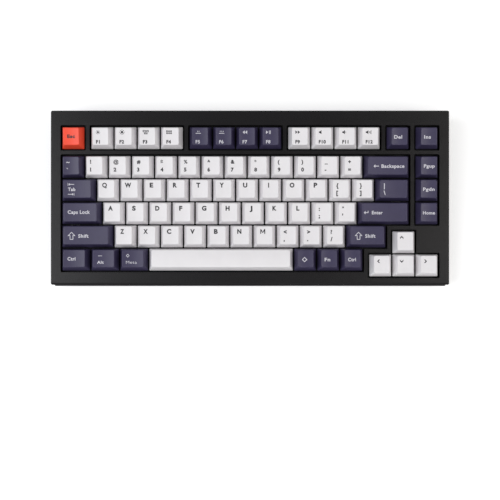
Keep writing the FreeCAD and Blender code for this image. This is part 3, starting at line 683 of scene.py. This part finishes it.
def cap_socket(cap, x):
    """The post under the top, with its cross-shaped hole."""
    bm = flat_shape([circle(SOCKET_RADIUS, count=32), cross_outline(*CROSS)])
    ceiling = min(cap.top(x, 0.0), cap.front_height) - CAP_ROOF / 2
    for v in bm.verts:
        v.co.z = ceiling if v.co.z > 0 else SOCKET_START
        v.co.x += x
    return bm


def laid_on(cap, item, weight):
    """A legend as a thin shell that follows the top of its keycap."""
    bm = legend_bmesh(item, weight)
    left = -cap.top_x + item["left"]
    height = cap.rear - item["middle"]
    right = max(v.co.x for v in bm.verts)
    cuts = int(right / LEGEND_STEP)
    for k in range(1, cuts + 1):
        geometry = bm.verts[:] + bm.edges[:] + bm.faces[:]
        bmesh.ops.bisect_plane(bm, geom=geometry, plane_co=(k * LEGEND_STEP, 0, 0), plane_no=(1, 0, 0))
    for v in bm.verts:
        v.co.x += left
        v.co.y += height
        proud = LEGEND_PROUD if v.co.z > 0 else -LEGEND_SUNK
        v.co.z = cap.top(v.co.x, v.co.y) + proud
    return bm


def build_cap(node, box, key, materials):
    """One keycap with its sockets and legends, as one piece."""
    name, row, legend = key
    cap = Cap(box, row)
    matrix = plane_matrix(cap.centre)
    bm = bmesh.new()
    add_mesh(bm, cap_shell(cap), matrix, 0, True)
    spread = cap.spread()
    for x in sorted({-spread, 0.0, spread}):
        add_mesh(bm, cap_socket(cap, x), matrix)
    weight = PALE_WEIGHT if node in NAVY_KEYS else DARK_WEIGHT
    for item in legend:
        add_mesh(bm, laid_on(cap, item, weight), matrix, 1)
    obj = add_object("cap_" + name, bm, materials, node)
    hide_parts(node)
    return obj, cap


# --- Stems and springs ------------------------------------------------------------------------------
def add_stem(bm, x, matrix):
    """A switch stem: skirt with side rails, neck, the pole that guides it and a cross."""
    add_blocks(bm, SWITCH_STEM, x, matrix)
    pole = flat_shape([circle(radius, count=20) for radius in POLE_RADII])
    add_post(bm, pole, POLE_ENDS, x, matrix)
    add_cross(bm, x, matrix)


def add_end_stem(bm, x, matrix):
    """The stem in a stabiliser: two cheeks round the wire's leg, a top, a front wall and a cross."""
    add_blocks(bm, END_STEM, x, matrix)
    add_cross(bm, x, matrix)


def add_blocks(bm, blocks, x, matrix):
    for block_x, block_y, bottom, top, half_x, half_y, edge in blocks.values():
        rounded_block(bm, x + block_x, block_y, bottom, top, half_x, half_y, edge, matrix)


def add_cross(bm, x, matrix):
    add_post(bm, flat_shape([cross_outline(*STEM_CROSS)]), STEM_CROSS_ENDS, x, matrix)


def add_post(bm, shape, ends, x, matrix):
    """Stretches a flat shape between two heights and adds it to bm."""
    bottom, top = ends
    for v in shape.verts:
        v.co = Vector((v.co.x + x, v.co.y, top if v.co.z > 0 else bottom))
    add_mesh(bm, shape, matrix)


def build_stems(node, caps, material):
    """The switch and stabiliser stems that go down with a node's keycaps."""
    bm = bmesh.new()
    for cap in caps:
        centre = cap.centre - Vector((0, 0, CAP_ABOVE_PLATE))
        matrix = plane_matrix(centre)
        add_stem(bm, 0.0, matrix)
        if cap.spread():
            for side in (-1, 1):
                add_end_stem(bm, side * cap.spread(), matrix)
    obj = add_object("stems_" + node, bm, [material], node)
    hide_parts(node)


def helix(turns, radius, low, high, steps=14, closed=0.09, rise=0.35):
    """Centre points of a coil spring, whose closed ends each take a share of its turns."""
    points = []
    for k in range(turns * steps + 1):
        t = k / (turns * steps)
        eased = min(1.0, max(0.0, (t - closed) / (1 - 2 * closed)))
        angle = 2 * math.pi * turns * t
        lift = rise * min(t / closed, 1.0) - rise * min((1 - t) / closed, 1.0)
        z = low + rise + (high - low - 2 * rise) * eased + lift
        points.append(Vector((radius * math.cos(angle), radius * math.sin(angle), z)))
    return points


def add_wire(bm, points, radius, matrix, sides=6):
    """A round wire along the points of a coil about the z axis."""
    rings = []
    for k, point in enumerate(points):
        before = points[max(0, k - 1)]
        after = points[min(len(points) - 1, k + 1)]
        along = (after - before).normalized()
        out = Vector((point.x, point.y, 0)).normalized()
        up = along.cross(out).normalized()
        out = up.cross(along)
        ring = []
        for s in range(sides):
            angle = 2 * math.pi * s / sides
            ring.append(matrix @ (point + out * radius * math.cos(angle) + up * radius * math.sin(angle)))
        rings.append(ring)
    loft(bm, rings)


def build_springs(node, caps, material):
    """The coil springs under a node's keys, fixed to the case."""
    bm = bmesh.new()
    points = helix(SPRING_TURNS, SPRING_RADIUS, SPRING_FOOT + SPRING_WIRE, SPRING_TOP - SPRING_WIRE)
    for cap in caps:
        centre = cap.centre - Vector((0, 0, CAP_ABOVE_PLATE))
        add_wire(bm, points, SPRING_WIRE, plane_matrix(centre))
    obj = add_object("springs_" + node, bm, [material], "case")
    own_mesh(obj)
    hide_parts("switch_springs")


# --- Materials --------------------------------------------------------------------------------------
def new_material(name):
    """A material with its nodes, links and shader."""
    material = bpy.data.materials.new(name)
    material.use_nodes = True
    nodes = material.node_tree.nodes
    links = material.node_tree.links
    return material, nodes, links, nodes["Principled BSDF"]


def add_noise(nodes, links, scale, detail=3.0, roughness=0.5):
    """Noise over the object's own coordinates, with its scale in features per metre."""
    place = nodes.new("ShaderNodeTexCoord")
    noise = nodes.new("ShaderNodeTexNoise")
    noise.inputs["Scale"].default_value = scale
    noise.inputs["Detail"].default_value = detail
    noise.inputs["Roughness"].default_value = roughness
    links.new(place.outputs["Object"], noise.inputs["Vector"])
    return noise


def ramp_between(nodes, links, source, low, high, start=0.3, end=0.7):
    """Maps a noise to the colours or greys between low and high."""
    ramp = nodes.new("ShaderNodeValToRGB")
    ramp.color_ramp.elements[0].position = start
    ramp.color_ramp.elements[1].position = end
    ramp.color_ramp.elements[0].color = low
    ramp.color_ramp.elements[1].color = high
    links.new(source, ramp.inputs["Fac"])
    return ramp


def grey(value):
    return (value, value, value, 1.0)


def shade(color, factor):
    return tuple(min(1.0, c * factor) for c in color) + (1.0,)


def add_bump(nodes, links, shader, source, strength, distance):
    bump = nodes.new("ShaderNodeBump")
    bump.inputs["Strength"].default_value = strength
    bump.inputs["Distance"].default_value = distance
    links.new(source, bump.inputs["Height"])
    links.new(bump.outputs["Normal"], shader.inputs["Normal"])
    return bump


def textured_plastic(name, color, roughness, grain=5200.0, bump=0.25, specular=0.5, mottle=0.03):
    """Moulded plastic with a fine spark-eroded texture and slightly uneven colour."""
    material, nodes, links, shader = new_material(name)
    soft = add_noise(nodes, links, 90.0, 2.0)
    tint = ramp_between(nodes, links, soft.outputs["Fac"], shade(color, 1 - mottle), shade(color, 1 + mottle))
    links.new(tint.outputs["Color"], shader.inputs["Base Color"])
    fine = add_noise(nodes, links, grain, 2.0)
    gloss = ramp_between(nodes, links, fine.outputs["Fac"], grey(roughness - 0.06), grey(roughness + 0.06))
    links.new(gloss.outputs["Color"], shader.inputs["Roughness"])
    shader.inputs["Specular IOR Level"].default_value = specular
    add_bump(nodes, links, shader, fine.outputs["Fac"], bump, 0.00004)
    return material


def anodised(name, color, roughness, metallic=0.0, specular=0.35):
    """Blasted and anodised aluminium: fine grain, soft gloss and a faint large-scale variation."""
    material, nodes, links, shader = new_material(name)
    cloud = add_noise(nodes, links, 14.0, 3.0)
    tint = ramp_between(nodes, links, cloud.outputs["Fac"], shade(color, 0.9), shade(color, 1.12))
    grain = add_noise(nodes, links, 6500.0, 2.0, 0.6)
    sparkle = ramp_between(nodes, links, grain.outputs["Fac"], grey(0.82), grey(1.25), 0.35, 0.68)
    mix = nodes.new("ShaderNodeMix")
    mix.data_type = "RGBA"
    mix.blend_type = "MULTIPLY"
    mix.inputs["Factor"].default_value = 1.0
    links.new(tint.outputs["Color"], mix.inputs["A"])
    links.new(sparkle.outputs["Color"], mix.inputs["B"])
    links.new(mix.outputs["Result"], shader.inputs["Base Color"])
    gloss = ramp_between(nodes, links, grain.outputs["Fac"], grey(roughness - 0.08), grey(roughness + 0.1))
    links.new(gloss.outputs["Color"], shader.inputs["Roughness"])
    shader.inputs["Metallic"].default_value = metallic
    shader.inputs["Specular IOR Level"].default_value = specular
    add_bump(nodes, links, shader, grain.outputs["Fac"], 0.3, 0.00003)
    return material


def metal(name, color, roughness, scale=1800.0):
    """Drawn or stamped bare metal with fine scratches."""
    material, nodes, links, shader = new_material(name)
    marks = add_noise(nodes, links, scale, 4.0, 0.65)
    tint = ramp_between(nodes, links, marks.outputs["Fac"], shade(color, 0.85), shade(color, 1.1))
    links.new(tint.outputs["Color"], shader.inputs["Base Color"])
    gloss = ramp_between(nodes, links, marks.outputs["Fac"], grey(roughness - 0.08), grey(roughness + 0.12))
    links.new(gloss.outputs["Color"], shader.inputs["Roughness"])
    shader.inputs["Metallic"].default_value = 1.0
    add_bump(nodes, links, shader, marks.outputs["Fac"], 0.1, 0.00002)
    return material


def foam(name, color, scale=1400.0):
    """Open-celled foam: recessed pores, darkened by painted shade."""
    material, nodes, links, shader = new_material(name)
    place = nodes.new("ShaderNodeTexCoord")
    pores = nodes.new("ShaderNodeTexVoronoi")
    pores.inputs["Scale"].default_value = scale
    links.new(place.outputs["Object"], pores.inputs["Vector"])
    # Painted shade: the colour darkens towards the middle of each pore.
    painted_pore_shade = shade(color, 0.4)
    tint = ramp_between(nodes, links, pores.outputs["Distance"], painted_pore_shade, shade(color, 1.3), 0.1, 0.6)
    links.new(tint.outputs["Color"], shader.inputs["Base Color"])
    shader.inputs["Roughness"].default_value = 0.95
    add_bump(nodes, links, shader, pores.outputs["Distance"], 0.8, 0.0003)
    return material


def board_material(name, color):
    """Solder mask over copper: broad lighter tracks under a glossy coat."""
    material, nodes, links, shader = new_material(name)
    place = nodes.new("ShaderNodeTexCoord")
    tracks = nodes.new("ShaderNodeTexBrick")
    tracks.inputs["Scale"].default_value = 120.0
    tracks.inputs["Color1"].default_value = shade(color, 1.0)
    tracks.inputs["Color2"].default_value = shade(color, 1.3)
    tracks.inputs["Mortar"].default_value = shade(color, 2.2)
    tracks.inputs["Mortar Size"].default_value = 0.03
    links.new(place.outputs["Object"], tracks.inputs["Vector"])
    links.new(tracks.outputs["Color"], shader.inputs["Base Color"])
    shader.inputs["Roughness"].default_value = 0.35
    shader.inputs["Coat Weight"].default_value = 0.4
    add_bump(nodes, links, shader, tracks.outputs["Fac"], 0.2, 0.00003)
    return material


def socket_material(name, flatness=0.09, tongue=0.9):
    """A steel shell round a tongue that is not metal, told apart by the distance from the mouth's middle."""
    material = metal(name, (0.62, 0.62, 0.63), 0.25)
    nodes = material.node_tree.nodes
    links = material.node_tree.links
    low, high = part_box("usb_socket")
    centre = (low + high) / 2
    place = nodes.new("ShaderNodeTexCoord")
    distance = nodes.new("ShaderNodeVectorMath")
    distance.operation = "DISTANCE"
    squeeze = nodes.new("ShaderNodeMapping")
    squeeze.inputs["Location"].default_value = (-centre.x * flatness, 0.0, -centre.z)
    squeeze.inputs["Scale"].default_value = (flatness, 0.0, 1.0)
    links.new(place.outputs["Object"], squeeze.inputs["Vector"])
    links.new(squeeze.outputs["Vector"], distance.inputs[0])
    outside = nodes.new("ShaderNodeMath")
    outside.operation = "GREATER_THAN"
    outside.inputs[1].default_value = tongue * MM
    links.new(distance.outputs["Value"], outside.inputs[0])
    links.new(outside.outputs["Value"], nodes["Principled BSDF"].inputs["Metallic"])
    return material


WHITE = (0.82, 0.80, 0.815)
NAVY = (0.043, 0.036, 0.084)
ORANGE = (0.98, 0.08, 0.035)
INK = (0.022, 0.021, 0.026)
PALE = (0.62, 0.61, 0.66)
BLACK = (0.012, 0.012, 0.013)
CASE_BLACK = (0.0055, 0.0048, 0.0056)
STEM_BROWN = (0.16, 0.045, 0.02)
STEEL = (0.70, 0.69, 0.66)
BRASS = (0.78, 0.56, 0.26)

cap_white = textured_plastic("cap_white", WHITE, 0.48, mottle=0.015)
cap_navy = textured_plastic("cap_navy", NAVY, 0.42, mottle=0.06)
cap_orange = textured_plastic("cap_orange", ORANGE, 0.45, mottle=0.03)
dark_legend = textured_plastic("legend_dark", INK, 0.5, mottle=0.05)
pale_legend = textured_plastic("legend_pale", PALE, 0.5, mottle=0.02)
black_plastic = textured_plastic("black_plastic", BLACK, 0.4, grain=2600.0, bump=0.15)
stem_plastic = textured_plastic("stem_plastic", STEM_BROWN, 0.35, grain=2600.0, bump=0.1)
lamp_plastic = textured_plastic("lamp_plastic", (0.75, 0.72, 0.6), 0.2, grain=900.0, bump=0.05)
rubber = textured_plastic(
    "rubber", (0.018, 0.018, 0.018), 0.75, grain=2200.0, bump=0.5, specular=0.3, mottle=0.15
)
case_metal = anodised("case_metal", CASE_BLACK, 0.32, specular=0.32)
plate_metal = anodised("plate_metal", BLACK, 0.5, metallic=0.5)
spring_metal = metal("spring_metal", STEEL, 0.22)
contact_metal = metal("contact_metal", BRASS, 0.25)
screw_metal = metal("screw_metal", (0.06, 0.06, 0.062), 0.35)
ribbon_plastic = textured_plastic("ribbon_plastic", (0.62, 0.62, 0.66), 0.35, grain=500.0, bump=0.1)
foam_material = foam("foam", (0.02, 0.02, 0.022))
board_mask = board_material("board_mask", (0.006, 0.016, 0.011))
socket_steel = socket_material("socket_steel")

ORANGE_KEYS = {"escape_key"}
NAVY_KEYS = {
    "keys_f5_f8", "delete_key", "insert_key", "backquote_key", "backspace_key", "tab_key", "backslash_key",
    "caps_lock_key", "enter_key", "left_shift_key", "right_shift_key", "left_modifier_keys",
    "right_modifier_keys", "page_keys",
}


def cap_finish(node):
    """The materials and the record's slot of a node's keycaps."""
    if node in ORANGE_KEYS:
        return [cap_orange, dark_legend], "cap_orange"
    if node in NAVY_KEYS:
        return [cap_navy, pale_legend], "cap_navy"
    return [cap_white, dark_legend], "cap_white"


# --- CAD pieces that stay: a finish, and a fine bevel on machined or moulded edges ------------------
CAD_FINISHES = {
    "top_case": case_metal, "bottom_case": case_metal, "case_screws": screw_metal, "rubber_feet": rubber,
    "gasket_pads": foam_material, "switch_plate": plate_metal, "plate_foam": foam_material,
    "case_foam": foam_material, "circuit_board": board_mask, "daughter_board": board_mask,
    "controller_chips": black_plastic, "hot_swap_sockets": black_plastic, "key_lamps": lamp_plastic,
    "usb_socket": socket_steel, "board_cable": ribbon_plastic, "mode_switch_body": spring_metal,
    "mode_switch_knob": black_plastic, "switch_bases": black_plastic, "switch_covers": black_plastic,
    "switch_contacts": contact_metal, "stabiliser_housings": black_plastic, "stabiliser_screws": screw_metal,
    "backspace_wire": spring_metal, "enter_wire": spring_metal, "left_shift_wire": spring_metal,
    "space_bar_wire": spring_metal,
}
BEVELS = {
    "top_case": 0.22, "bottom_case": 0.3, "case_screws": 0.12, "rubber_feet": 0.5, "usb_socket": 0.08,
    "mode_switch_knob": 0.15, "mode_switch_body": 0.1, "stabiliser_housings": 0.15,
}
BEVEL_ANGLE = 35
WELD_DISTANCE = 1e-6


def finish_cad_nodes():
    for node, material in CAD_FINISHES.items():
        obj = frame["nodes"][node]
        obj.data.materials.clear()
        obj.data.materials.append(material)
    for node, width in BEVELS.items():
        obj = frame["nodes"][node]
        weld = obj.modifiers.new("weld", "WELD")
        weld.merge_threshold = WELD_DISTANCE
        bevel = obj.modifiers.new("edges", "BEVEL")
        bevel.width = width * MM
        bevel.segments = 2
        bevel.limit_method = "ANGLE"
        bevel.angle_limit = math.radians(BEVEL_ANGLE)
        bevel.harden_normals = True
        bevel.use_clamp_overlap = True


# --- Scene: floor, lights, camera -------------------------------------------------------------------
COOL = (0.95, 0.97, 1.0)
WARM = (1.0, 0.97, 0.93)
FLOOR_HALF_SIZE = 4.0
FLOOR_GLOW = 0.35
WORLD_STRENGTH = 0.25


def make_floor():
    """A plain pale floor that glows a little, so that it stays even and bright."""
    bm = bmesh.new()
    bmesh.ops.create_grid(bm, x_segments=2, y_segments=2, size=FLOOR_HALF_SIZE)
    mesh = bpy.data.meshes.new("floor")
    bm.to_mesh(mesh)
    bm.free()
    floor = bpy.data.objects.new("floor", mesh)
    bpy.context.scene.collection.objects.link(floor)
    material, nodes, links, shader = new_material("floor")
    haze = add_noise(nodes, links, 3.0)
    tint = ramp_between(nodes, links, haze.outputs["Fac"], grey(0.93), grey(0.95))
    links.new(tint.outputs["Color"], shader.inputs["Base Color"])
    shader.inputs["Roughness"].default_value = 0.9
    shader.inputs["Specular IOR Level"].default_value = 0.1
    shader.inputs["Emission Color"].default_value = grey(1.0)
    shader.inputs["Emission Strength"].default_value = FLOOR_GLOW
    mesh.materials.append(material)


def softbox(name, direction, distance, size, power, color=(1.0, 1.0, 1.0)):
    """A square light that faces the keyboard from a direction."""
    data = bpy.data.lights.new(name, "AREA")
    data.shape = "SQUARE"
    data.size = size
    data.energy = power
    data.color = color
    lamp = bpy.data.objects.new(name, data)
    back = Vector(direction).normalized()
    lamp.location = back * distance
    lamp.rotation_mode = "QUATERNION"
    lamp.rotation_quaternion = back.to_track_quat("Z", "Y")
    bpy.context.scene.collection.objects.link(lamp)


def make_lights():
    softbox("high_left", (-0.54, -0.12, 0.84), 1.7, 0.8, 8.5, COOL)
    softbox("high_right", (0.54, -0.12, 0.84), 1.7, 0.8, 5.1, WARM)
    softbox("left", (-0.80, -0.1, 0.60), 1.7, 1.0, 6.2, COOL)
    softbox("right", (0.80, -0.1, 0.60), 1.7, 1.0, 4.8, WARM)
    softbox("front", (0.0, -0.66, 0.75), 1.8, 1.0, 5.9)
    world = bpy.data.worlds.new("studio")
    world.use_nodes = True
    background = world.node_tree.nodes["Background"]
    background.inputs["Color"].default_value = (0.97, 0.98, 1.0, 1.0)
    background.inputs["Strength"].default_value = WORLD_STRENGTH
    bpy.context.scene.world = world
    bpy.context.scene.view_settings.view_transform = "Standard"


def make_camera(caps):
    """Looks square onto the key plane, a little forward of its middle."""
    low_x = min(cap.centre.x - cap.half_x for cap in caps)
    high_x = max(cap.centre.x + cap.half_x for cap in caps)
    low_y = min(cap.centre.y - cap.half_y for cap in caps)
    high_y = max(cap.centre.y + cap.half_y for cap in caps)
    target = Vector(((low_x + high_x) / 2, (low_y + high_y) / 2 - CAMERA_FORWARD, caps[0].centre.z))
    data = bpy.data.cameras.new("camera")
    data.sensor_width = SENSOR
    data.lens = SENSOR * CAMERA_DISTANCE / CAMERA_WIDTH
    camera = bpy.data.objects.new("camera", data)
    stand = target + Vector((0, 0, CAMERA_DISTANCE))
    camera.matrix_world = Matrix.Translation(PLANE @ (stand * MM)) @ PLANE.to_4x4()
    bpy.context.scene.collection.objects.link(camera)
    bpy.context.scene.camera = camera


def build_keys():
    """Every keycap with its stem and spring, and the caps' measures for the camera."""
    every_cap = []
    for node, keys in KEYS.items():
        materials, slot = cap_finish(node)
        caps = []
        for box, key in zip(caps_of(node), keys, strict=True):
            obj, cap = build_cap(node, box, key, materials)
            caps.append(cap)
        build_stems(node, caps, stem_plastic)
        build_springs(node, caps, spring_metal)
        every_cap += caps
    return every_cap


make_camera(build_keys())
finish_cad_nodes()
make_floor()
make_lights()
